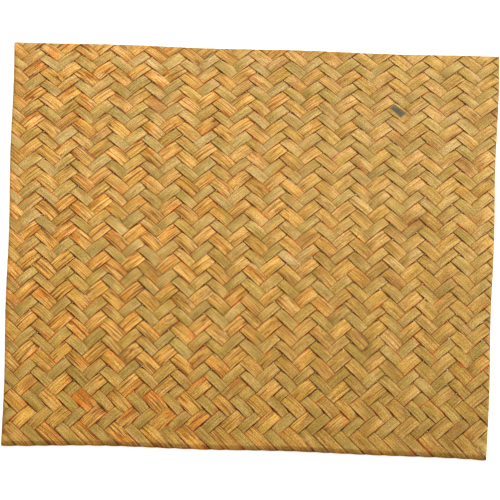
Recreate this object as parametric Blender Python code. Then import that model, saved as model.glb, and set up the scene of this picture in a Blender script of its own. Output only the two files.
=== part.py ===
"""Bamboo placemat, plaited on the bias: one flat sheet whose strips turn back at all four edges.

The mat lies on the XY plane with its underside at z = 0. X runs along the near edge, Y runs away
from it. The strips cross at 45 degrees to the edges, so their floats stand in columns that run
from the near edge to the far one. The columns, and the rows of the near border, are raised as
shallow ribs. Single strips are too many and too fine for the solid and are left smooth.
"""

import math

import bmesh
import bpy

# Driving sizes, in metres
CELL = 0.00625          # half the spacing of the folds along an edge
CELLS_WIDE = 56         # fold line to fold line, left to right
CELLS_DEEP = 56         # fold line to fold line, near to far
THICKNESS = 0.0028      # underside to the top of a float
RIB_RISE = 0.0005       # how far a float column stands above the line where its strips dive
ROLL = 0.0020           # plan width of the rounded turn along every edge

# How far the handmade mat is from a true square
FLARE = 0.012           # the far edge is wider, and the near edge narrower, by this share
NEAR_BOW = 0.0026       # the near edge draws in by this much in its middle
SWAY = 0.0004           # gentle wander of the columns and rows
SWAY_LENGTH = 0.13      # length of one such wander

# The weave, counted in cells from the near fold line
COLUMN_CELLS = 2        # a float column is two cells wide
COLUMN_OFFSET = 1.5     # the first column's inner boundary, in cells from the left fold line
BORDER_RIBS = ((0.0, 2.5), (2.5, 4.5), (4.5, 6.5))   # rows along the near edge: start, end
FIELD_START = 7.5       # the columns reach full height here

# Where a rib has grid lines, and how its height goes there: share of its width, share of its rise
RIB_PROFILE = ((0.0, 0.0), (0.3, 1.0), (0.7, 1.0), (1.0, 0.0))
FIELD_STEPS = 10        # grid steps along the columns, beyond the border
ROLL_STEPS = 5          # steps around the rounded edge

WIDTH = CELL * CELLS_WIDE
DEPTH = CELL * CELLS_DEEP

BAMBOO_COLOUR = (0.60, 0.38, 0.13, 1.0)
BAMBOO_ROUGHNESS = 0.55


def rib_rise(share):
    """Return the rise of a rib at a share of its width, straight between the profile's points."""
    for (start, low), (end, high) in zip(RIB_PROFILE, RIB_PROFILE[1:]):
        if share <= end:
            return low + (high - low) * (share - start) / (end - start)
    return 0.0


def across_lines():
    """Return the grid lines from left to right, in cells from the left fold line."""
    inset = ROLL / CELL
    lines = {inset, CELLS_WIDE - inset}
    start = COLUMN_OFFSET - COLUMN_CELLS
    while start < CELLS_WIDE:
        for share, _ in RIB_PROFILE:
            place = start + share * COLUMN_CELLS
            if inset + 0.2 < place < CELLS_WIDE - inset - 0.2:
                lines.add(round(place, 4))
        start += COLUMN_CELLS
    return sorted(lines)


def along_lines():
    """Return the grid lines from near to far, in cells from the near fold line."""
    inset = ROLL / CELL
    lines = {inset, CELLS_DEEP - inset, FIELD_START}
    for start, end in BORDER_RIBS:
        for share, _ in RIB_PROFILE:
            place = start + share * (end - start)
            if place > inset + 0.2:
                lines.add(round(place, 4))
    first_step = (CELLS_DEEP - inset - FIELD_START) / FIELD_STEPS
    for step in range(1, FIELD_STEPS):
        lines.add(round(FIELD_START + step * first_step, 4))
    return sorted(lines)


def top_height(across, along):
    """Return the height of the upper face at a place given in cells."""
    valley = THICKNESS - RIB_RISE
    border_end = BORDER_RIBS[-1][1]
    if along <= border_end:
        for start, end in BORDER_RIBS:
            if along <= end:
                # The edge row has no valley on its outer side, where the strips roll over.
                share = (along - start) / (end - start)
                share = max(share, 0.5) if start == 0.0 else share
                return valley + RIB_RISE * rib_rise(share)
    share = ((across - COLUMN_OFFSET) / COLUMN_CELLS) % 1.0
    grown = min((along - border_end) / (FIELD_START - border_end), 1.0)
    return valley + RIB_RISE * rib_rise(share) * grown


def plan(x, y):
    """Return where a point of the true square lies in the handmade mat.

    The width grows evenly from near to far, the near edge bows inward in its middle, and the
    columns and rows wander by a sine.
    """
    half_width = WIDTH / 2
    half_depth = DEPTH / 2
    bow = NEAR_BOW * (1 - (x / half_width) ** 4) * ((half_depth - y) / DEPTH) ** 2
    turn = 2 * math.pi / SWAY_LENGTH
    return (x * (1 + FLARE * y / half_depth) + SWAY * math.sin(turn * y + 1.0),
            y + bow + SWAY * math.sin(turn * x))


def perimeter(columns, rows):
    """Return the grid's border indices once around, anticlockwise seen from above."""
    near = [(i, 0) for i in range(columns)]
    right = [(columns - 1, j) for j in range(1, rows)]
    far = [(i, rows - 1) for i in range(columns - 2, -1, -1)]
    left = [(0, j) for j in range(rows - 2, 0, -1)]
    return near + right + far + left


def outward(i, j, columns, rows):
    """Return the unit direction that points out of the mat at a border index."""
    x = (i == columns - 1) - (i == 0)
    y = (j == rows - 1) - (j == 0)
    length = math.hypot(x, y)
    return x / length, y / length


def woven_mesh(name):
    """Build the sheet: the ribbed upper face, the rolled edges and the flat underside."""
    xs = [line * CELL - WIDTH / 2 for line in across_lines()]
    ys = [line * CELL - DEPTH / 2 for line in along_lines()]
    columns = len(xs)
    rows = len(ys)
    bm = bmesh.new()

    def height(i, j):
        return top_height((xs[i] + WIDTH / 2) / CELL, (ys[j] + DEPTH / 2) / CELL)

    top = [[bm.verts.new((*plan(xs[i], ys[j]), height(i, j))) for j in range(rows)]
           for i in range(columns)]
    for i in range(columns - 1):
        for j in range(rows - 1):
            bm.faces.new((top[i][j], top[i + 1][j], top[i + 1][j + 1], top[i][j + 1]))

    # The edge is half an ellipse from the upper face round to the underside.
    border = perimeter(columns, rows)
    ring = [top[i][j] for i, j in border]
    for step in range(1, ROLL_STEPS + 1):
        angle = math.pi / 2 - math.pi * step / ROLL_STEPS
        next_ring = []
        for i, j in border:
            out_x, out_y = outward(i, j, columns, rows)
            reach = ROLL * math.cos(angle)
            place = plan(xs[i] + out_x * reach, ys[j] + out_y * reach)
            middle = height(i, j) / 2
            next_ring.append(bm.verts.new((*place, middle * (1 + math.sin(angle)))))
        for k in range(len(border)):
            after = (k + 1) % len(border)
            bm.faces.new((ring[k], next_ring[k], next_ring[after], ring[after]))
        ring = next_ring
    bm.faces.new(list(reversed(ring)))

    centre_on_origin(bm)
    bmesh.ops.recalc_face_normals(bm, faces=bm.faces)
    mesh = bpy.data.meshes.new(name)
    bm.to_mesh(mesh)
    bm.free()
    return mesh


def centre_on_origin(bm):
    """Move the sheet so that the origin is the middle of its underside's box."""
    for axis in (0, 1):
        places = [vert.co[axis] for vert in bm.verts]
        middle = (min(places) + max(places)) / 2
        for vert in bm.verts:
            vert.co[axis] -= middle


def bamboo_material():
    """Return the plain bamboo finish of the solid."""
    material = bpy.data.materials.new("bamboo_strip")
    material.use_nodes = True
    shader = material.node_tree.nodes["Principled BSDF"]
    shader.inputs["Base Color"].default_value = BAMBOO_COLOUR
    shader.inputs["Roughness"].default_value = BAMBOO_ROUGHNESS
    shader.inputs["Metallic"].default_value = 0.0
    return material


def build():
    """Empty the scene and build the placemat as one named object."""
    for item in list(bpy.data.objects):
        bpy.data.objects.remove(item, do_unlink=True)
    mesh = woven_mesh("woven_mat")
    mesh.materials.append(bamboo_material())
    mesh.shade_smooth()
    mesh.set_sharp_from_angle(angle=math.radians(40))
    mat = bpy.data.objects.new("woven_mat", mesh)
    bpy.context.scene.collection.objects.link(mat)


build()
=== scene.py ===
"""Looks of the plaited bamboo placemat: each strip as its own ribbon, its finish, and a studio.

Two layers of strips cross at 45 degrees to the mat's edges. Falling strips run from the far left
to the near right, rising strips from the near left to the far right. Every strip passes over two
and under two of the others, and turns back where it meets an edge of the mat.

Places in the weave are counted in cells: "across" from the left fold line and "along" from the
near one. Strips cross wherever across + along is an odd whole number.
"""
import logging
import math
from dataclasses import dataclass
from enum import Enum
from functools import partial, reduce

import bpy
import numpy as np
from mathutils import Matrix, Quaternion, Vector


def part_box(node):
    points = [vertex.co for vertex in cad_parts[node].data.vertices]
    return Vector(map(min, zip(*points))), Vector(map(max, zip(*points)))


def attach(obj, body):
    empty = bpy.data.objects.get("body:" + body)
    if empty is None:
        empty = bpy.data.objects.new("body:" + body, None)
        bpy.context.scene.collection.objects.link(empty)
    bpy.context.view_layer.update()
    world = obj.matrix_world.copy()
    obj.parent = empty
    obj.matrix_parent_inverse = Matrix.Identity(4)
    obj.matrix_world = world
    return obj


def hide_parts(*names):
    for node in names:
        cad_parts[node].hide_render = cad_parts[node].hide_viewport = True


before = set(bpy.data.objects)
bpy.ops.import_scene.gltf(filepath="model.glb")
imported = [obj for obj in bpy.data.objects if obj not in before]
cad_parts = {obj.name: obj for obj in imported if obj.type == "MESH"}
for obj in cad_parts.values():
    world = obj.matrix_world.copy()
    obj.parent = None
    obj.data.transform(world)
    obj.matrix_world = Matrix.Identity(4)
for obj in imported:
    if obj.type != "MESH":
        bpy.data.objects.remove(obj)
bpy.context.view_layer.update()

log = logging.getLogger("placemat")

NODE = "woven_mat"

# The attributes that each strip carries for its finish
PLACE = "strip_place"   # metres along the strip, metres over it, the strip's own random share
MARK = "strip_mark"     # signed share of its half width, height from -1 to 1, how golden it is
TURN = "strip_turn"     # how far the place belongs to the painted shade on the turn at the near edge

Colour = tuple[float, float, float, float]
Socket = bpy.types.NodeSocket


class Lay(Enum):
    """Which of the two crossing layers a strip belongs to."""

    FALLING = "falling"
    RISING = "rising"

    @property
    def other(self) -> "Lay":
        """The layer that this one crosses."""
        return Lay.RISING if self is Lay.FALLING else Lay.FALLING


class Tone(Enum):
    """The two sorts of strip that take turns across each layer."""

    GOLDEN = "golden"
    OLIVE = "olive"


def linear(red: int, green: int, blue: int) -> Colour:
    """Turn a screen colour into the light values that shaders use.

    Args:
        red, green, blue: The colour as seen on screen, 0 to 255.

    Returns:
        The same colour in linear light, with full opacity.
    """
    shares = [value / 255 for value in (red, green, blue)]
    lights = [v / 12.92 if v <= 0.04045 else ((v + 0.055) / 1.055) ** 2.4 for v in shares]
    return (*lights, 1.0)


@dataclass(frozen=True)
class MatPlan:
    """The mat's outline, and how a place in the weave becomes a place on the mat."""

    cells: int = 56
    width: float = 0.350
    thickness: float = 0.0028
    flare: float = 0.012
    near_bow: float = 0.0026
    sway: float = 0.0004
    sway_length: float = 0.13
    roll: float = 0.0020
    rim_half_thickness: float = 0.0006
    gather: float = 0.14

    @property
    def half(self) -> float:
        """Half of the square that the strips' middles fill."""
        return self.width / 2 - self.rim_half_thickness

    @property
    def rolled_length(self) -> float:
        """Length of strip that the quarter turn at an edge takes up."""
        return self.roll * math.pi / 2

    @property
    def cell(self) -> float:
        """Size of a cell, with the turns at the edges laid out flat."""
        return (self.half + self.rolled_length - self.roll) / (self.cells / 2)

    @property
    def cell_on_strip(self) -> float:
        """Metres of strip for one step of a cell along it, as it runs at 45 degrees."""
        return self.cell * math.sqrt(0.5)

    def gathered(self, along: np.ndarray) -> np.ndarray:
        """Set the rows a little wider apart near the near edge and closer near the far one.

        A row's depth is 1 + gather at the near fold line, 1 in the middle and 1 - gather at the
        far fold line, which is the slope of along + gather * middle / 2 * (1 - t * t), where t
        goes from -1 to 1.

        Args:
            along: Cells from the near fold line.

        Returns:
            The same places, still from 0 to the number of cells.
        """
        middle = self.cells / 2
        return along + self.gather * middle / 2 * (1 - (along / middle - 1) ** 2)

    def from_middle(self, count: np.ndarray) -> tuple[np.ndarray, np.ndarray, np.ndarray]:
        """Place one coordinate, with the turn at both ends.

        The turn is a quarter of a circle of radius roll: at an angle t up from the fold line, a
        point lies roll * (1 - cos t) inside the edge and has risen by sin t.

        Args:
            count: Cells from the fold line on the low side.

        Returns:
            The distance from the mat's middle, how far the surface has risen out of the turn
            from 0 to 1, and how much it faces outward, signed by side.
        """
        side = np.where(count < self.cells / 2, -1.0, 1.0)
        inside = np.minimum(count, self.cells - count) * self.cell
        angle = np.clip(inside / self.roll, 0.0, math.pi / 2)
        depth = self.roll * (1 - np.cos(angle)) + np.maximum(inside - self.rolled_length, 0.0)
        return side * (self.half - depth), np.sin(angle), side * np.cos(angle)

    def settle(self, x: np.ndarray, y: np.ndarray) -> tuple[np.ndarray, np.ndarray]:
        """Bend the true square into the handmade outline.

        The width grows evenly from near to far, the near edge bows inward in its middle, and the
        columns and rows wander by a sine.

        Args:
            x, y: Places in the true square, in metres.

        Returns:
            The places on the mat, in metres.
        """
        half = self.width / 2
        bow = self.near_bow * (1 - (x / half) ** 4) * ((half - y) / self.width) ** 2
        turn = 2 * math.pi / self.sway_length
        return (x * (1 + self.flare * y / half) + self.sway * np.sin(turn * y + 1.0),
                y + bow + self.sway * np.sin(turn * x))


@dataclass(frozen=True)
class Twill:
    """The rule that says which strip lies on top where two cross."""

    repeat: int = 4
    float_cells: int = 2
    edge_row_end: int = 2
    first_row_end: int = 4
    second_row_end: int = 6
    last_row: int = 7

    def falling_on_top(self, across: np.ndarray, along: np.ndarray) -> np.ndarray:
        """Say where the falling strip is the upper one.

        In the field the floats stand in columns two cells wide. Along the near edge they lie in
        rows instead: falling, rising, falling, and a row of single rising cells.

        Args:
            across, along: Whole cells from the left and the near fold line.

        Returns:
            True where the falling strip lies on top.
        """
        in_column = np.mod(across, self.repeat) < self.float_cells
        falling_row = (along <= self.edge_row_end) | (
            (along > self.first_row_end) & (along <= self.second_row_end))
        return np.where(along <= self.last_row, falling_row, in_column)


def bump_curve(share: np.ndarray) -> np.ndarray:
    """Fall from 1 to 0 as share goes from 0 to 1, flat at the end: (1 - share) squared."""
    return np.clip(1 - share, 0.0, 1.0) ** 2


@dataclass(frozen=True)
class Splitting:
    """How the strips were split from the cane: where neighbouring ones meet."""

    strips: int = 56
    golden_extra: float = 0.10
    jitter: float = 0.14
    seed: int = 21

    def edges(self, lay: Lay) -> np.ndarray:
        """Return where neighbouring strips meet, in cells from the mat's middle diagonal.

        Golden strips take a little more than their share. The uneven part is the same in both
        layers at the fold lines, because a strip that turns back is the same strip.

        Args:
            lay: The layer.

        Returns:
            One more boundary than there are strips, in rising order.
        """
        middle = self.strips // 2
        random = np.random.default_rng(self.seed)
        uneven = random.uniform(-self.jitter, self.jitter, middle + 1)
        uneven[0] = uneven[-1] = 0.0
        count = np.arange(self.strips + 1)
        regular = 2.0 * count - self.strips
        shift = np.where(count % 2 == 1, -self.golden_extra, self.golden_extra)
        shift[0] = shift[-1] = 0.0
        if lay is Lay.FALLING:
            uneven = np.concatenate([uneven, -uneven[-2::-1]])
        else:
            uneven = np.concatenate([-uneven[:0:-1], uneven])
        return regular + shift + uneven


@dataclass(frozen=True)
class StripNature:
    """How one strip differs from its neighbours."""

    sines = 4
    wavelengths = (0.03, 0.16)
    sine_shares = (0.2, 0.4)
    swells = (0.4, 1.6)
    starts = (0.0, 50.0)

    waves: np.ndarray
    swell: float
    start: float
    own: float

    @classmethod
    def draw(cls, seed: tuple[int, ...]) -> "StripNature":
        """Draw one strip's differences.

        Args:
            seed: Numbers that belong to this strip alone.

        Returns:
            The slow waves, with one row per sine for wavelength in metres, phase in turns and
            share of the whole, then the swelling at a fold, the place in the grain where the
            strip starts, in metres, and its own share from 0 to 1.
        """
        random = np.random.default_rng(seed)
        waves = np.column_stack([random.uniform(*cls.wavelengths, cls.sines),
                                 random.random(cls.sines),
                                 random.uniform(*cls.sine_shares, cls.sines)])
        return cls(waves, random.uniform(*cls.swells), random.uniform(*cls.starts),
                   random.random())

    def wander(self, places: np.ndarray) -> np.ndarray:
        """Add up the slow waves, for the unevenness of the strip.

        Args:
            places: Positions along the strip, in metres.

        Returns:
            The sum of share * sin(2 pi * (place / wavelength + phase)).
        """
        turns = places[..., None] / self.waves[:, 0] + self.waves[:, 1]
        return (np.sin(2 * math.pi * turns) * self.waves[:, 2]).sum(axis=-1)


@dataclass(frozen=True)
class Strip:
    """Where one strip lies among the others, in cells from the mat's middle diagonals."""

    lay: Lay
    index: int
    cells: int
    low: float
    high: float
    crossed: np.ndarray
    level: np.ndarray
    nature: StripNature

    @property
    def centre(self) -> float:
        """Its middle line."""
        return (self.low + self.high) / 2

    @property
    def half_width(self) -> float:
        """Half of the room between its neighbours."""
        return (self.high - self.low) / 2

    @property
    def reach(self) -> float:
        """Half of its length, from its middle to a fold line."""
        return self.cells - abs(self.centre)

    @property
    def crossings(self) -> np.ndarray:
        """The middles of the strips that it crosses."""
        return (self.crossed[1:] + self.crossed[:-1]) / 2


@dataclass
class Plait:
    """All the strips of the mat, built layer by layer and tone by tone.

    Heights, thicknesses, tilt, fold bulge and the painted shade on the near turn are in metres.
    Reaches, drift and the chinks' depth and length are in cells. Covers are shares of a strip's
    room.
    """

    plan: MatPlan
    twill: Twill
    splitting: Splitting
    steps_per_cell: int = 8
    fewest_steps: int = 3
    steps_over_width: int = 6
    float_rise: float = 0.00092
    rise_wander: float = 0.05
    squareness: float = 0.8
    arch_peak: float = 0.917
    edge_thickness: float = 0.00030
    middle_thickness: float = 0.00062
    cover: float = 0.979
    cover_at_fold: float = 0.980
    cover_wander: float = 0.022
    float_bulge: float = 0.036
    drift: float = 0.05
    drift_shift: float = 1.0
    tilt: float = 0.00012
    tilt_pace: float = 1.7
    tilt_shift: float = 2.0
    fold_bulge: float = 0.0002
    fold_reach: float = 1.2
    end_reach: float = 4.0
    least_upward: float = 0.02
    chink_depth: float = 0.090
    chink_length: float = 0.22
    chink_chance: tuple[float, float] = (0.02, 0.25)
    chinks_right_of: float = 0.4
    chinks_short_of: float = 1.3
    chink_seed: int = 5
    turn_shade_to: float = 0.0036
    turn_shade_fade: float = 0.0012
    golden_tone: float = 0.86
    olive_tone: float = 0.14
    tone_spread: float = 0.17
    tone_seed: int = 99
    sharp_angle: float = 42.0
    seed: int = 7

    def level_pattern(self, lay: Lay, index: int) -> np.ndarray:
        """Return over and under along one strip.

        Args:
            lay: The strip's layer.
            index: The strip's number in its layer.

        Returns:
            1 where the strip is on top and -1 where it isn't, for every strip of the other
            layer. Beyond the strips that it really crosses, its last level goes on.
        """
        strips = self.splitting.strips
        half = strips // 2
        reach = strips - abs(2 * index + 1 - strips)
        first = (strips - reach) // 2
        others = np.clip(np.arange(strips), first, strips - 1 - first)
        falling, rising = (index, others) if lay is Lay.FALLING else (others, index)
        on_top = self.twill.falling_on_top(falling + rising - half + 1, falling - rising + half)
        level = np.where(on_top, 1.0, -1.0)
        return level if lay is Lay.FALLING else -level

    def lay_out(self, lay: Lay, index: int) -> Strip:
        """Look up where one strip lies, what it crosses and how it differs.

        Args:
            lay: The strip's layer.
            index: The strip's number in its layer.

        Returns:
            The strip.
        """
        own = self.splitting.edges(lay)
        return Strip(lay, index, self.plan.cells, own[index], own[index + 1],
                     self.splitting.edges(lay.other), self.level_pattern(lay, index),
                     StripNature.draw((self.seed, index, lay is Lay.RISING)))

    def chinks(self) -> np.ndarray:
        """Choose the few corners between four strips where the floor shows through.

        Returns:
            1 at the chosen corners and 0 elsewhere, by falling and rising boundary. They are
            commoner towards the right of the mat, and commonest near its near edge.
        """
        count = np.arange(self.splitting.strips + 1) / self.splitting.strips
        to_right = (count[:, None] + count[None, :]) / 2
        to_far = 0.5 + count[:, None] - count[None, :]
        random = np.random.default_rng((self.seed, self.chink_seed))
        rarest, commonest = self.chink_chance
        chance = rarest + commonest * (to_right - self.chinks_right_of) * (
            self.chinks_short_of - to_far)
        return (random.random(to_right.shape) < np.clip(chance, rarest, commonest)).astype(float)

    def notch(self, corners: np.ndarray, base: np.ndarray, crossed: np.ndarray) -> np.ndarray:
        """Say how much narrower one side of a strip is: a smooth dip at each open corner.

        Args:
            corners: 1 for each boundary of the other layer with a chink, else 0.
            base: Places along the strip, in cells from its middle.
            crossed: The boundaries of the other layer, in the same measure.

        Returns:
            The sum of depth * exp(-(distance / length) squared), in cells.
        """
        dips = np.exp(-((base - crossed[None, :]) / self.chink_length) ** 2)
        return self.chink_depth * (dips @ corners)[:, None]

    @staticmethod
    def crossing_count(along: np.ndarray, crossings: np.ndarray) -> np.ndarray:
        """Count places along a strip in crossings.

        Args:
            along: Places in cells from the strip's middle.
            crossings: Where the other layer's strips have their middles, in the same measure.

        Returns:
            The number of the crossing at each place, with a share for places between two.
        """
        place = np.interp(along, crossings, np.arange(len(crossings)))
        before = np.minimum(along - crossings[0], 0)
        after = np.maximum(along - crossings[-1], 0)
        return place + (before + after) / 2

    def rise(self, strip: Strip, along: np.ndarray) -> np.ndarray:
        """Blend over and under into the height of a springy strip.

        The height is a cubic B-spline through the levels, made squarer by tanh, so that a float
        over two is a flat arch and a float over one stands lower.

        Args:
            strip: The strip, with 1 or -1 at each crossing.
            along: Places along it, in cells from its middle.

        Returns:
            Heights from about -1 to 1.
        """
        place = self.crossing_count(along, strip.crossings)
        whole = np.floor(place).astype(int)
        part = place - whole
        weights = ((1 - part) ** 3 / 6,
                   (3 * part ** 3 - 6 * part ** 2 + 4) / 6,
                   (-3 * part ** 3 + 3 * part ** 2 + 3 * part + 1) / 6,
                   part ** 3 / 6)
        total = np.zeros_like(part)
        for step, weight in enumerate(weights):
            total += weight * strip.level[np.clip(whole + step - 1, 0, len(strip.level) - 1)]
        return np.tanh(self.squareness * total / self.arch_peak) / math.tanh(self.squareness)

    def sideways(self, strip: Strip, base: np.ndarray, share: np.ndarray
                 ) -> tuple[np.ndarray, np.ndarray]:
        """Work out how wide the strip is, and how it wanders sideways.

        The half width is the room between the neighbours * cover, a little more on a float and
        less where the strip dives, less a notch at each chink. Towards a fold line the width is
        even and the strip lies on its own middle line.

        Args:
            strip: The strip.
            base: Places along it, in cells from its middle.
            share: Shares of its half width, from -1 to 1.

        Returns:
            Places over the strip in cells, from its own middle line and from the mat's.
        """
        metres = base * self.plan.cell_on_strip
        near_fold = np.exp(-((strip.reach - np.abs(base)) / self.fold_reach) ** 2)
        cover = (self.cover + self.cover_wander * strip.nature.wander(metres)
                 + self.float_bulge * self.rise(strip, base)) * (1 - near_fold)
        corners = self.chinks() if strip.lay is Lay.FALLING else self.chinks().T
        low_side, high_side = (self.notch(corners[strip.index + side], base, strip.crossed)
                               for side in (0, 1))
        notch = np.where(share < 0, low_side, high_side) * (1 - near_fold)
        spread = (strip.half_width * (cover + self.cover_at_fold * near_fold) - notch) * share
        drift = self.drift * strip.nature.wander(metres + self.drift_shift) * (1 - near_fold)
        return spread, strip.centre + drift + spread

    def cut_ends(self, strip: Strip, base: np.ndarray, share: np.ndarray) -> np.ndarray:
        """Shift the last steps of each fibre, so that both ends are cut along the fold line.

        Args:
            strip: The strip.
            base: Places along its middle, in cells.
            share: Shares of its half width, from -1 to 1.

        Returns:
            Places along each fibre, in cells from the strip's middle.
        """
        fibre = strip.centre + strip.half_width * self.cover_at_fold * share
        shift = strip.cells - np.abs(fibre) - strip.reach
        length = min(self.end_reach, 2 * strip.reach)
        return base + shift * (bump_curve((strip.reach - base) / length)
                               - bump_curve((base + strip.reach) / length))

    def ribbon(self, strip: Strip) -> dict[str, np.ndarray]:
        """Work out one strip as a closed ribbon.

        The two parameters are the step along the strip and the share of its half width. The
        middle surface lies at thickness / 2 + lift * (float_rise * height + tilt * share), where
        height is 1 on a float and -1 under one, and lift goes from 0 to 1 out of the turn at an
        edge. A cross section is a lens: edge + (middle - edge) * (1 - share squared) thick.

        Args:
            strip: The strip.

        Returns:
            Arrays over (step, point round the section): "co" and the three attributes.
        """
        plan, nature = self.plan, strip.nature
        steps = max(self.fewest_steps, round(strip.reach * self.steps_per_cell))
        base = np.linspace(-strip.reach, strip.reach, steps + 1)[:, None]
        share = np.linspace(-1, 1, self.steps_over_width + 1)[None, :]
        metres = base * plan.cell_on_strip
        spread, over = self.sideways(strip, base, share)
        along = self.cut_ends(strip, base, share)

        if strip.lay is Lay.FALLING:
            first, second = over + strip.cells, along
        else:
            first, second = along + strip.cells, over
        x, rise_x, out_x = plan.from_middle((first + second) / 2)
        row = plan.gathered((first - second) / 2)
        y, rise_y, out_y = plan.from_middle(row)
        swell = self.fold_bulge * nature.swell * (1 - share ** 2)
        x, y = plan.settle(x, y + swell * np.minimum(out_y, 0.0) * rise_x)

        height, lift = self.rise(strip, along), rise_x * rise_y
        lean = self.tilt * nature.wander(metres * self.tilt_pace + self.tilt_shift) * share
        arch = self.float_rise * height * (1 + self.rise_wander * nature.wander(metres))
        middle_surface = np.stack([x, y, plan.thickness / 2 + lift * (arch + lean)], -1)

        upper_side = np.sign(height)
        facing = np.stack([upper_side * out_x, upper_side * out_y,
                           np.maximum(lift, self.least_upward)], -1)
        facing /= np.linalg.norm(facing, axis=-1, keepdims=True)
        thickness = self.edge_thickness + (self.middle_thickness - self.edge_thickness) * (
            1 - share ** 2)
        offset = facing * (thickness / 2 * np.ones_like(x))[..., None]

        # Share of painted shade on the turn at the near edge: 1 close to the near fold line,
        # fading to 0 further in.
        painted_turn_shade = np.clip((self.turn_shade_to + self.turn_shade_fade - row * plan.cell) / self.turn_shade_fade, 0, 1)
        place = np.stack([along * plan.cell_on_strip + nature.start,
                          spread * plan.cell_on_strip * np.ones_like(x),
                          np.full_like(x, nature.own)], -1)
        mark = np.stack([np.broadcast_to(share, x.shape), height * lift,
                         np.full_like(x, self.goldenness(strip))], -1)
        both_sides = {name: np.concatenate([values, values[:, ::-1]], axis=1)
                      for name, values in ((PLACE, place), (MARK, mark), (TURN, painted_turn_shade))}
        return {"co": np.concatenate([middle_surface + offset,
                                      (middle_surface - offset)[:, ::-1]], axis=1), **both_sides}

    def goldenness(self, strip: Strip) -> float:
        """Say how golden one strip is, from 0 for olive to 1, the same on both sides of a fold.

        Args:
            strip: The strip.

        Returns:
            Its tone.
        """
        strips = self.splitting.strips
        shared = strip.index + (0 if strip.lay is Lay.FALLING else strips // 2)
        random = np.random.default_rng((self.seed, self.tone_seed, shared % strips))
        tone = self.golden_tone if strip.index % 2 else self.olive_tone
        return float(np.clip(tone + random.normal(0, self.tone_spread), 0.0, 1.0))

    def piece(self, lay: Lay, tone: Tone) -> bpy.types.Object:
        """Build all strips of one layer and one tone as one mesh.

        Args:
            lay: The layer.
            tone: The tone.

        Returns:
            The new object, at the origin.
        """
        start = 1 if tone is Tone.GOLDEN else 0
        ribbons = [self.ribbon(self.lay_out(lay, index))
                   for index in range(start, self.splitting.strips, 2)]
        corners: list[np.ndarray] = []
        sizes: list[np.ndarray] = []
        offset = 0
        for ribbon in ribbons:
            steps, ring = ribbon["co"].shape[:2]
            number = offset + np.arange(steps * ring).reshape(steps, ring)
            after = np.roll(number, -1, axis=1)
            walls = np.stack([number[:-1], number[1:], after[1:], after[:-1]], -1).reshape(-1, 4)
            caps = [number[0], number[-1][::-1]]
            if lay is Lay.RISING:
                walls = walls[:, ::-1]
                caps = [cap[::-1] for cap in caps]
            corners += [walls.ravel(), *caps]
            sizes += [np.full(len(walls), 4), np.full(2, ring)]
            offset += steps * ring
        name = f"{lay.value}_{tone.value}_strips"
        mesh = mesh_from_arrays(name, np.concatenate([r["co"].reshape(-1, 3) for r in ribbons]),
                                np.concatenate(corners), np.concatenate(sizes))
        for layer, kind, field in ((PLACE, "FLOAT_VECTOR", "vector"),
                                   (MARK, "FLOAT_VECTOR", "vector"), (TURN, "FLOAT", "value")):
            values = np.concatenate([r[layer].ravel() for r in ribbons]).astype(np.float32)
            mesh.attributes.new(layer, kind, "POINT").data.foreach_set(field, values)
        mesh.shade_smooth()
        mesh.set_sharp_from_angle(angle=math.radians(self.sharp_angle))
        piece = bpy.data.objects.new(name, mesh)
        bpy.context.scene.collection.objects.link(piece)
        return piece


def mesh_from_arrays(name: str, points: np.ndarray, corners: np.ndarray,
                     sizes: np.ndarray) -> bpy.types.Mesh:
    """Make a mesh from whole arrays.

    Args:
        name: The mesh's name.
        points: One row of x, y, z per vertex.
        corners: The vertex numbers of all faces, one face after the other.
        sizes: The number of corners of each face.

    Returns:
        The mesh.
    """
    mesh = bpy.data.meshes.new(name)
    mesh.vertices.add(len(points))
    mesh.vertices.foreach_set("co", points.astype(np.float32).ravel())
    mesh.loops.add(len(corners))
    mesh.loops.foreach_set("vertex_index", corners.astype(np.int32))
    mesh.polygons.add(len(sizes))
    starts = np.concatenate([[0], np.cumsum(sizes)[:-1]])
    mesh.polygons.foreach_set("loop_start", starts.astype(np.int32))
    mesh.update(calc_edges=True)
    mesh.validate()
    return mesh


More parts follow.
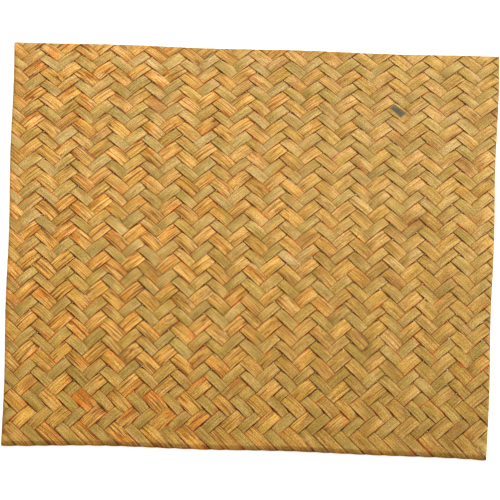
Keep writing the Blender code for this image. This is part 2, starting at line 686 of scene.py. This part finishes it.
class NodeSheet:
    """A short way to write a material's nodes."""

    def __init__(self, name: str) -> None:
        """Start a material with an empty node tree.

        Args:
            name: The material's name.
        """
        self.material = bpy.data.materials.new(name)
        self.material.use_nodes = True
        self.tree = self.material.node_tree
        self.tree.nodes.clear()

    def put(self, kind: str, **settings: object) -> bpy.types.Node:
        """Add a node.

        Args:
            kind: The node's type.
            settings: Its own settings.

        Returns:
            The node.
        """
        node = self.tree.nodes.new(kind)
        for key, value in settings.items():
            setattr(node, key, value)
        return node

    def feed(self, socket: Socket, value: object) -> None:
        """Link a socket to another one, or set it to a constant.

        Args:
            socket: The input.
            value: The other socket, or the constant.
        """
        if isinstance(value, bpy.types.NodeSocket):
            self.tree.links.new(value, socket)
        else:
            socket.default_value = value

    def work_out(self, node: bpy.types.Node, values: tuple[object, ...]) -> Socket:
        """Feed a node's first inputs.

        Args:
            node: The node.
            values: What goes into them, in their order.

        Returns:
            The node's first output.
        """
        for socket, value in zip(node.inputs, values):
            self.feed(socket, value)
        return node.outputs[0]

    def math(self, operation: str, *values: object, clamp: bool = False) -> Socket:
        """Combine numbers with one Math node."""
        node = self.put("ShaderNodeMath", operation=operation, use_clamp=clamp)
        return self.work_out(node, values)

    def times(self, *values: object) -> Socket:
        """Multiply numbers with each other, from the first to the last."""
        return reduce(partial(self.math, "MULTIPLY"), values)

    def combine(self, x: object, y: object, z: object) -> Socket:
        """Make a vector of three numbers."""
        return self.work_out(self.put("ShaderNodeCombineXYZ"), (x, y, z))

    def parts(self, vector: Socket) -> tuple[Socket, Socket, Socket]:
        """Take a vector apart.

        Args:
            vector: The vector.

        Returns:
            Its x, y and z.
        """
        node = self.put("ShaderNodeSeparateXYZ")
        self.feed(node.inputs[0], vector)
        return tuple(node.outputs)

    def spot(self) -> tuple[Socket, Socket, Socket]:
        """Return the place on the object: to the right, to the far side and up."""
        return self.parts(self.put("ShaderNodeTexCoord").outputs["Object"])

    def noise(self, vector: object, detail: float, rough: float) -> Socket:
        """Read smooth noise.

        Args:
            vector: The place, already scaled.
            detail: How many finer layers there are.
            rough: How strong the finer layers are.

        Returns:
            A number around 0.5.
        """
        node = self.put("ShaderNodeTexNoise")
        self.feed(node.inputs["Vector"], vector)
        node.inputs["Scale"].default_value = 1.0
        node.inputs["Detail"].default_value = detail
        node.inputs["Roughness"].default_value = rough
        return node.outputs["Fac"]

    def span(self, value: object, low: float, high: float, at_low: float = 0.0,
             at_high: float = 1.0) -> Socket:
        """Stretch the range from low to high onto another one, smoothly and clamped."""
        node = self.put("ShaderNodeMapRange", interpolation_type="SMOOTHSTEP")
        return self.work_out(node, (value, low, high, at_low, at_high))

    def mix(self, share: object, first: object, second: object, blend: str = "MIX") -> Socket:
        """Mix two colours.

        Args:
            share: How much of the second colour is taken.
            first, second: The colours.
            blend: How they are mixed.

        Returns:
            The mixed colour.
        """
        node = self.put("ShaderNodeMix", data_type="RGBA", blend_type=blend)
        sockets = [s for s in node.inputs if s.type == "RGBA"]
        self.feed(node.inputs[0], share)
        self.feed(sockets[0], first)
        self.feed(sockets[1], second)
        return [s for s in node.outputs if s.type == "RGBA"][0]

    def tint(self, share: object, colour: Socket, tint: object) -> Socket:
        """Multiply a colour by a tint, by a share."""
        return self.mix(share, colour, self.mix(1.0, colour, tint, "MULTIPLY"))

    def finish(self, shader: bpy.types.Node) -> bpy.types.Material:
        """Send a shader to the surface and return the material."""
        self.feed(self.put("ShaderNodeOutputMaterial").inputs["Surface"], shader.outputs["BSDF"])
        return self.material


@dataclass(frozen=True)
class Grain:
    """A noise that follows the strip: its features per metre each way, and its own layer."""

    along: float
    over: float
    layer: float
    detail: float = 1.0
    rough: float = 0.5


class Source(Enum):
    """What a fade can follow, besides a grain."""

    SIDE = "signed share of the half width"
    EDGE = "share of the half width"
    HEIGHT = "height of the strip"
    OWN = "the strip's own random share"
    GOLDEN = "how golden the place is"
    TO_RIGHT = "metres to the right of the mat's middle"
    TO_FAR = "metres to the far side of the mat's middle"
    STAIN_DOWN = "metres from the stain, along a falling strip"
    STAIN_OVER = "metres from the stain, over a falling strip"


@dataclass(frozen=True)
class Fade:
    """A smooth change from one value to another, while what it follows goes from low to high."""

    follows: Source | Grain
    low: float
    high: float
    at_low: float = 0.0
    at_high: float = 1.0


@dataclass(frozen=True)
class Mark:
    """A colour laid over the strip, by the product of its fades.

    A mark with threads is drawn only as thin lines along the strip. Relief is how far it stands
    out, and a mark with apart_from keeps clear of the one of that name.
    """

    name: str
    colour: Colour
    fades: tuple[Fade, ...]
    threads: Grain | None = None
    half_wide: float = 0.0
    relief: float = 0.0
    apart_from: str = ""


class StripSheet(NodeSheet):
    """A node sheet that reads each strip's own measures."""

    layer_step = 91.0
    thread_core = 0.3

    def __init__(self, name: str, stain_spot: tuple[float, float]) -> None:
        """Read the attributes and the place on the mat.

        Args:
            name: The material's name.
            stain_spot: The middle of the stain, in metres from the mat's middle.
        """
        super().__init__(name)
        self.length, self.width, own = self.parts(self.attribute(PLACE).outputs["Vector"])
        side, height, self.tone = self.parts(self.attribute(MARK).outputs["Vector"])
        to_right, to_far, _ = self.spot()
        right = self.math("SUBTRACT", to_right, stain_spot[0])
        far = self.math("SUBTRACT", to_far, stain_spot[1])
        down, over = (self.math("ABSOLUTE", self.times(self.math(turn, right, far),
                                                       math.sqrt(0.5)))
                      for turn in ("SUBTRACT", "ADD"))
        self.sources = {
            Source.SIDE: side, Source.EDGE: self.math("ABSOLUTE", side), Source.HEIGHT: height,
            Source.OWN: own, Source.TO_RIGHT: to_right, Source.TO_FAR: to_far,
            Source.STAIN_DOWN: down, Source.STAIN_OVER: over,
        }
        self.drawn: dict[Grain, Socket] = {}

    def attribute(self, name: str) -> bpy.types.Node:
        """Read one of the strip's attributes."""
        return self.put("ShaderNodeAttribute", attribute_name=name)

    def grain(self, grain: Grain) -> Socket:
        """Read a grain, whose noise is made once and starts elsewhere on every strip.

        Args:
            grain: The grain.

        Returns:
            Its noise.
        """
        if grain not in self.drawn:
            layer = self.math("MULTIPLY_ADD", self.sources[Source.OWN], self.layer_step,
                              grain.layer)
            vector = self.combine(self.times(self.length, grain.along),
                                  self.times(self.width, grain.over), layer)
            self.drawn[grain] = self.noise(vector, grain.detail, grain.rough)
        return self.drawn[grain]

    def fade(self, fade: Fade) -> Socket:
        """Work out one fade.

        Args:
            fade: The fade.

        Returns:
            Its value.
        """
        follows = fade.follows
        value = self.grain(follows) if isinstance(follows, Grain) else self.sources[follows]
        return self.span(value, fade.low, fade.high, fade.at_low, fade.at_high)

    def fades(self, fades: tuple[Fade, ...]) -> Socket:
        """Multiply several fades with each other."""
        return self.times(*(self.fade(fade) for fade in fades))

    def threads(self, grain: Grain, half_wide: float) -> Socket:
        """Draw thin lines along the strip, where a grain passes its middle.

        Args:
            grain: The grain.
            half_wide: How far from its middle a line reaches.

        Returns:
            1 in the core of a line and 0 beside it.
        """
        away = self.math("ABSOLUTE", self.math("SUBTRACT", self.grain(grain), 0.5))
        return self.span(away, half_wide * self.thread_core, half_wide, 1.0, 0.0)

    def share(self, mark: Mark, others: dict[str, Socket]) -> Socket:
        """Work out how much of the colour a mark takes.

        Args:
            mark: The mark.
            others: The shares of the marks before it, by name.

        Returns:
            Its share, from 0 to 1.
        """
        share = self.fades(mark.fades)
        if mark.threads:
            share = self.times(self.threads(mark.threads, mark.half_wide), share)
        if mark.apart_from:
            share = self.times(share, self.math("SUBTRACT", 1.0, others[mark.apart_from]))
        return share


HALF_MAT = 0.17         # a fade over the whole mat goes from -HALF_MAT to HALF_MAT
FIBRE = Grain(50, 2300, 0.0)
EDGE_PATCH = Grain(75, 60, 60.0)


def over_mat(axis: Source, at_low: float, at_high: float) -> Fade:
    """Change a value evenly from one side of the mat to the other."""
    return Fade(axis, -HALF_MAT, HALF_MAT, at_low, at_high)


@dataclass(frozen=True)
class Channel:
    """How red, green or blue follows the brightness: brightness to a power, times fades."""

    power: float
    fades: tuple[Fade, ...]


@dataclass(frozen=True)
class BambooFinish:
    """Dry split bamboo: pale fibres, reddish veins, fine cracks, and raw orange edges."""

    golden: Colour = linear(214, 156, 68)
    golden_pale: Colour = linear(220, 177, 98)
    olive: Colour = linear(171, 143, 75)
    olive_pale: Colour = linear(195, 166, 97)
    paleness: Fade = Fade(Grain(20, 520, 20.0, detail=2.0), 0.25, 0.75, 0.32, 0.68)
    tone_cloud: Grain = Grain(55, 130, 10.0, detail=2.0)
    tone_swing: float = 1.2
    tone_contrast: Fade = Fade(Source.TO_RIGHT, -0.14, 0.16, 1.0, 0.42)

    marks: tuple[Mark, ...] = (
        Mark("brown", linear(174, 122, 60), (Fade(Grain(26, 60, 70.0), 0.62, 0.74, 0.0, 0.75),)),
        Mark("rust", linear(212, 126, 34), (
            Fade(Grain(50, 70, 75.0), 0.59, 0.71, 0.0, 0.86),
            Fade(Source.TO_FAR, -0.17, -0.05, 1.0, 0.76),
            Fade(Source.GOLDEN, 0.3, 0.8, 0.1, 1.0),
            Fade(Source.TO_RIGHT, -0.15, 0.10, 1.0, 0.45))),
        Mark("vein", linear(204, 126, 40), (
            Fade(Grain(48, 260, 65.0), 0.42, 0.60, 0.15, 0.95),
            Fade(Source.GOLDEN, 0.1, 0.9, 0.25, 1.0),
            Fade(Source.TO_RIGHT, -0.15, 0.15, 1.0, 0.45)),
            threads=Grain(13, 430, 30.0), half_wide=0.055, relief=-0.5),
        Mark("line", linear(128, 71, 16), (
            Fade(Source.GOLDEN, 0.0, 0.8, 0.36, 0.92),
            Fade(Source.TO_RIGHT, -0.15, 0.15, 1.0, 0.55)),
            threads=Grain(21, 620, 35.0), half_wide=0.050, relief=-0.6),
        Mark("crack", linear(84, 46, 18), (Fade(Grain(45, 120, 50.0), 0.66, 0.74, 0.0, 0.8),),
             threads=Grain(30, 700, 40.0), half_wide=0.03, relief=-1.0),
        Mark("raw_edge", linear(226, 106, 24), (
            Fade(Source.EDGE, 0.74, 0.88),
            Fade(EDGE_PATCH, 0.57, 0.64, 0.0, 0.92),
            over_mat(Source.TO_FAR, 1.0, 0.70))),
        # Painted highlight: a pale line along one side of some strips, as if that side caught the
        # key lamp.
        Mark("painted_highlight_edge", linear(242, 204, 146), (
            Fade(Source.SIDE, 0.80, 0.90),
            Fade(EDGE_PATCH, 0.28, 0.34, 0.60, 0.0))),
        # Partly the strips' own dark edges, partly painted shade in the seams between
        # neighbouring strips.
        Mark("dark_edge_and_seam_shade", linear(98, 50, 6), (
            Fade(Source.EDGE, 0.865, 0.93),
            Fade(Grain(95, 60, 80.0), 0.34, 0.56, 0.34, 1.0)), apart_from="painted_highlight_edge"),
        Mark("stain", linear(92, 92, 78), (
            Fade(Source.STAIN_DOWN, 0.0052, 0.0068, 0.92, 0.0),
            Fade(Source.STAIN_OVER, 0.0020, 0.0029, 1.0, 0.0),
            Fade(Source.HEIGHT, 0.0, 0.35))))
    stain_spot: tuple[float, float] = (0.1033, 0.1239)

    brightness: tuple[Fade, ...] = (
        Fade(FIBRE, 0.30, 0.70, 0.82, 1.18),
        Fade(Grain(950, 1900, 25.0, rough=0.6), 0.3, 0.7, 0.70, 1.25),
        Fade(Grain(62, 90, 15.0), 0.3, 0.7, 0.80, 1.13),
        Fade(Source.OWN, 0.0, 1.0, 0.97, 1.06),
        # Painted shade: the mat darker towards its near edge.
        Fade(Source.TO_FAR, -0.17, 0.06, 0.862, 1.02))
    channels: tuple[Channel, Channel, Channel] = (
        Channel(1.0, (over_mat(Source.TO_RIGHT, 1.07, 0.885),)),
        Channel(1.07, (over_mat(Source.TO_RIGHT, 1.05, 0.898),
                       over_mat(Source.TO_FAR, 0.961, 1.009))),
        Channel(1.9, (over_mat(Source.TO_FAR, 0.86, 1.10),
                      Fade(Grain(58, 90, 17.0), 0.3, 0.7, 0.82, 1.10),
                      over_mat(Source.TO_RIGHT, 1.0, 0.90))))
    # Painted shade where a strip dives under a crossing one: darker and redder as its height
    # falls.
    painted_dive_shade: Colour = (0.97, 0.79, 0.54, 1.0)
    painted_dive_shade_share: Fade = Fade(Source.HEIGHT, -0.50, 0.35, 1.0, 0.0)
    # Painted shade on the turned-under near edge.
    painted_turn_shade: Colour = (0.66, 0.57, 0.42, 1.0)

    bump_strength: float = 0.4
    bump_distance: float = 0.00012
    roughness: Fade = Fade(FIBRE, 0.3, 0.7, 0.66, 0.52)
    specular_level: float = 0.16

    def ground(self, sheet: StripSheet) -> Socket:
        """Mix the golden and the olive ground.

        How golden a place is swings around the strip's own tone with a slow cloud. Golden and
        olive strips draw nearer to each other towards the right of the mat.

        Args:
            sheet: The material's nodes, which also learn how golden the place is.

        Returns:
            The colour.
        """
        cloud = sheet.math("SUBTRACT", sheet.grain(self.tone_cloud), 0.5)
        swing = sheet.math("MULTIPLY_ADD", cloud, self.tone_swing, sheet.tone)
        golden_share = sheet.math("MULTIPLY_ADD", sheet.math("SUBTRACT", swing, 0.5),
                                  sheet.fade(self.tone_contrast), 0.5, clamp=True)
        sheet.sources[Source.GOLDEN] = golden_share
        pale = sheet.fade(self.paleness)
        return sheet.mix(golden_share, sheet.mix(pale, self.olive, self.olive_pale),
                         sheet.mix(pale, self.golden, self.golden_pale))

    def brighten(self, sheet: StripSheet, colour: Socket) -> Socket:
        """Lay brightness over the colour: fibres, speckles, slow clouds, and painted shade that
        darkens the mat towards its near edge.

        Where a strip is darker it is also redder, so green and blue fall faster than red.

        Args:
            sheet: The material's nodes.
            colour: The colour so far.

        Returns:
            The new colour.
        """
        value = sheet.fades(self.brightness)
        shade = sheet.combine(*(sheet.times(sheet.math("POWER", value, channel.power),
                                            sheet.fades(channel.fades))
                                for channel in self.channels))
        return sheet.mix(1.0, colour, shade, "MULTIPLY")

    def material(self) -> bpy.types.Material:
        """Build the material: ground, marks in their order, brightness, painted shade tints and
        relief.

        Returns:
            The material.
        """
        sheet = StripSheet("split_bamboo", self.stain_spot)
        colour = self.ground(sheet)
        shares: dict[str, Socket] = {}
        relief = sheet.grain(FIBRE)
        for mark in self.marks:
            share = shares[mark.name] = sheet.share(mark, shares)
            colour = sheet.mix(share, colour, mark.colour)
            if mark.relief:
                relief = sheet.math("MULTIPLY_ADD", share, mark.relief, relief)
        colour = self.brighten(sheet, colour)
        # Painted shade where a strip dives under a crossing one.
        colour = sheet.tint(sheet.fade(self.painted_dive_shade_share), colour, self.painted_dive_shade)
        # Painted shade on the turned-under near edge.
        colour = sheet.tint(sheet.attribute(TURN).outputs["Fac"], colour, self.painted_turn_shade)

        bump = sheet.put("ShaderNodeBump")
        bump.inputs["Strength"].default_value = self.bump_strength
        bump.inputs["Distance"].default_value = self.bump_distance
        sheet.feed(bump.inputs["Height"], relief)
        shader = sheet.put("ShaderNodeBsdfPrincipled")
        shader.inputs["Specular IOR Level"].default_value = self.specular_level
        sheet.feed(shader.inputs["Base Color"], colour)
        sheet.feed(shader.inputs["Roughness"], sheet.fade(self.roughness))
        sheet.feed(shader.inputs["Normal"], bump.outputs["Normal"])
        return sheet.finish(shader)


@dataclass
class Placemat:
    """The dressed mat: four meshes of strips that stand for the flat solid."""

    plait: Plait
    finish: BambooFinish
    golden_area: float = 0.54
    olive_area: float = 0.46

    def build(self) -> list[bpy.types.Object]:
        """Returns:
            The pieces.
        """
        material = self.finish.material()
        pieces = []
        for lay in Lay:
            for tone in Tone:
                piece = self.plait.piece(lay, tone)
                piece.data.materials.append(material)
                pieces.append(piece)
        self.centre(pieces)
        for piece in pieces:
            self.declare(piece)
        return pieces

    def centre(self, pieces: list[bpy.types.Object]) -> None:
        """Move the meshes so that their common box is centred on the solid's box.

        Args:
            pieces: The objects, which themselves stay at the origin.
        """
        points = []
        for piece in pieces:
            co = np.empty(len(piece.data.vertices) * 3, np.float32)
            piece.data.vertices.foreach_get("co", co)
            points.append(co.reshape(-1, 3))
        low = np.min([p.min(axis=0) for p in points], axis=0)
        high = np.max([p.max(axis=0) for p in points], axis=0)
        box_low, box_high = (np.array(corner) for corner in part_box(NODE))
        shift = (box_low + box_high) / 2 - (low + high) / 2
        shift[2] = box_low[2] - low[2]
        for piece, co in zip(pieces, points):
            piece.data.vertices.foreach_set("co", (co + shift).astype(np.float32).ravel())
            piece.data.update()

    def declare(self, piece: bpy.types.Object) -> None:
        """Hang the piece on the root body, hide the solid that it stands for, and log its faces.

        Args:
            piece: One piece of the mat.
        """
        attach(piece, "root")
        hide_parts(NODE)
        log.info("%s: %d faces", piece.name, len(piece.data.polygons))


@dataclass(frozen=True)
class Lamp:
    """A square lamp: its turn to the right of straight behind the mat and its height are in
    degrees, its distance and the length of its side in metres, and its power in watts.
    """

    name: str
    turn: float
    height: float
    distance: float
    size: float
    power: float

    def build(self) -> None:
        """Hang the lamp so that it faces the mat."""
        data = bpy.data.lights.new(self.name, "AREA")
        data.shape = "SQUARE"
        data.size = self.size
        data.energy = self.power
        turn, height = math.radians(self.turn), math.radians(self.height)
        flat = self.distance * math.cos(height)
        lamp = bpy.data.objects.new(self.name, data)
        lamp.location = (flat * math.sin(turn), flat * math.cos(turn),
                         self.distance * math.sin(height))
        lamp.rotation_mode = "QUATERNION"
        lamp.rotation_quaternion = lamp.location.to_track_quat("Z", "Y")
        bpy.context.scene.collection.objects.link(lamp)


@dataclass(frozen=True)
class Floor:
    """A plain pale floor that glows a little, as under a light tent, and warmer under the mat."""

    size: float = 6.0
    drop: float = 0.0002
    colour: Colour = (0.78, 0.78, 0.78, 1.0)
    roughness: float = 0.9
    mat_reach: tuple[float, float] = (0.168, 0.172)
    glow: Colour = (1.0, 1.0, 1.0, 1.0)
    glow_under_mat: Colour = (1.0, 0.82, 0.56, 1.0)
    glow_strength: float = 0.75
    strength_under_mat: float = 0.62

    def material(self) -> bpy.types.Material:
        """Build the floor's material.

        Returns:
            The material, which knows by the place on the floor whether the mat covers it.
        """
        sheet = NodeSheet("pale_floor")
        x, y, _ = sheet.spot()
        reach = sheet.math("MAXIMUM", sheet.math("ABSOLUTE", x), sheet.math("ABSOLUTE", y))
        beyond = sheet.span(reach, *self.mat_reach)
        shader = sheet.put("ShaderNodeBsdfPrincipled")
        shader.inputs["Base Color"].default_value = self.colour
        shader.inputs["Roughness"].default_value = self.roughness
        sheet.feed(shader.inputs["Emission Color"],
                   sheet.mix(beyond, self.glow_under_mat, self.glow))
        sheet.feed(shader.inputs["Emission Strength"],
                   sheet.span(beyond, 0.0, 1.0, self.strength_under_mat, self.glow_strength))
        return sheet.finish(shader)

    def build(self) -> None:
        """Lay the floor just under the mat."""
        size, low = self.size, -self.drop
        mesh = bpy.data.meshes.new("studio_floor")
        mesh.from_pydata([(-size, -size, low), (size, -size, low), (size, size, low),
                          (-size, size, low)], [], [(0, 1, 2, 3)])
        mesh.materials.append(self.material())
        floor = bpy.data.objects.new("studio_floor", mesh)
        bpy.context.scene.collection.objects.link(floor)


@dataclass(frozen=True)
class Studio:
    """Pale floor, soft light from above and behind, and a long lens at the photo's angle."""

    floor: Floor
    lamps: tuple[Lamp, ...] = (
        Lamp("key_lamp", turn=50.0, height=43.0, distance=2.2, size=1.5, power=45.0),
        Lamp("top_lamp", turn=10.0, height=75.0, distance=2.4, size=2.2, power=24.0))
    room_colour: Colour = (1.0, 0.98, 0.95, 1.0)
    room_strength: float = 0.36
    elevation: float = 56.30
    roll: float = 1.8218
    distance: float = 8.0
    lens: float = 800.7
    sensor: float = 36.0
    view_end: float = 100.0
    aim: tuple[float, float, float] = (-0.00054, -0.00110, 0.0014)

    def build(self) -> None:
        """Build the floor, the room, the lamps and the camera."""
        self.floor.build()
        self.room()
        for lamp in self.lamps:
            lamp.build()
        self.camera()
        log.info("studio: %d lamps", len(self.lamps))

    def room(self) -> None:
        """Let a pale room fill the shadows."""
        world = bpy.data.worlds.new("pale_room")
        world.use_nodes = True
        background = world.node_tree.nodes["Background"]
        background.inputs["Color"].default_value = self.room_colour
        background.inputs["Strength"].default_value = self.room_strength
        bpy.context.scene.world = world

    def camera(self) -> None:
        """Stand the camera in front of the near edge, looking down on the mat."""
        data = bpy.data.cameras.new("photo_camera")
        data.lens = self.lens
        data.sensor_width = self.sensor
        data.clip_end = self.view_end
        camera = bpy.data.objects.new("photo_camera", data)
        tilt = math.radians(90 - self.elevation)
        camera.location = (self.aim[0], self.aim[1] - self.distance * math.sin(tilt),
                           self.aim[2] + self.distance * math.cos(tilt))
        camera.rotation_mode = "QUATERNION"
        camera.rotation_quaternion = (Quaternion((1.0, 0.0, 0.0), tilt)
                                      @ Quaternion((0.0, 0.0, 1.0), math.radians(self.roll)))
        bpy.context.scene.collection.objects.link(camera)
        bpy.context.scene.camera = camera
        bpy.context.scene.view_settings.view_transform = "Standard"


def main() -> None:
    """Build the studio and the mat, and log how many lamps and faces they have."""
    logging.basicConfig(level=logging.INFO)
    Studio(floor=Floor()).build()
    plait = Plait(plan=MatPlan(), twill=Twill(), splitting=Splitting())
    Placemat(plait=plait, finish=BambooFinish()).build()


if __name__ == "__main__":
    main()
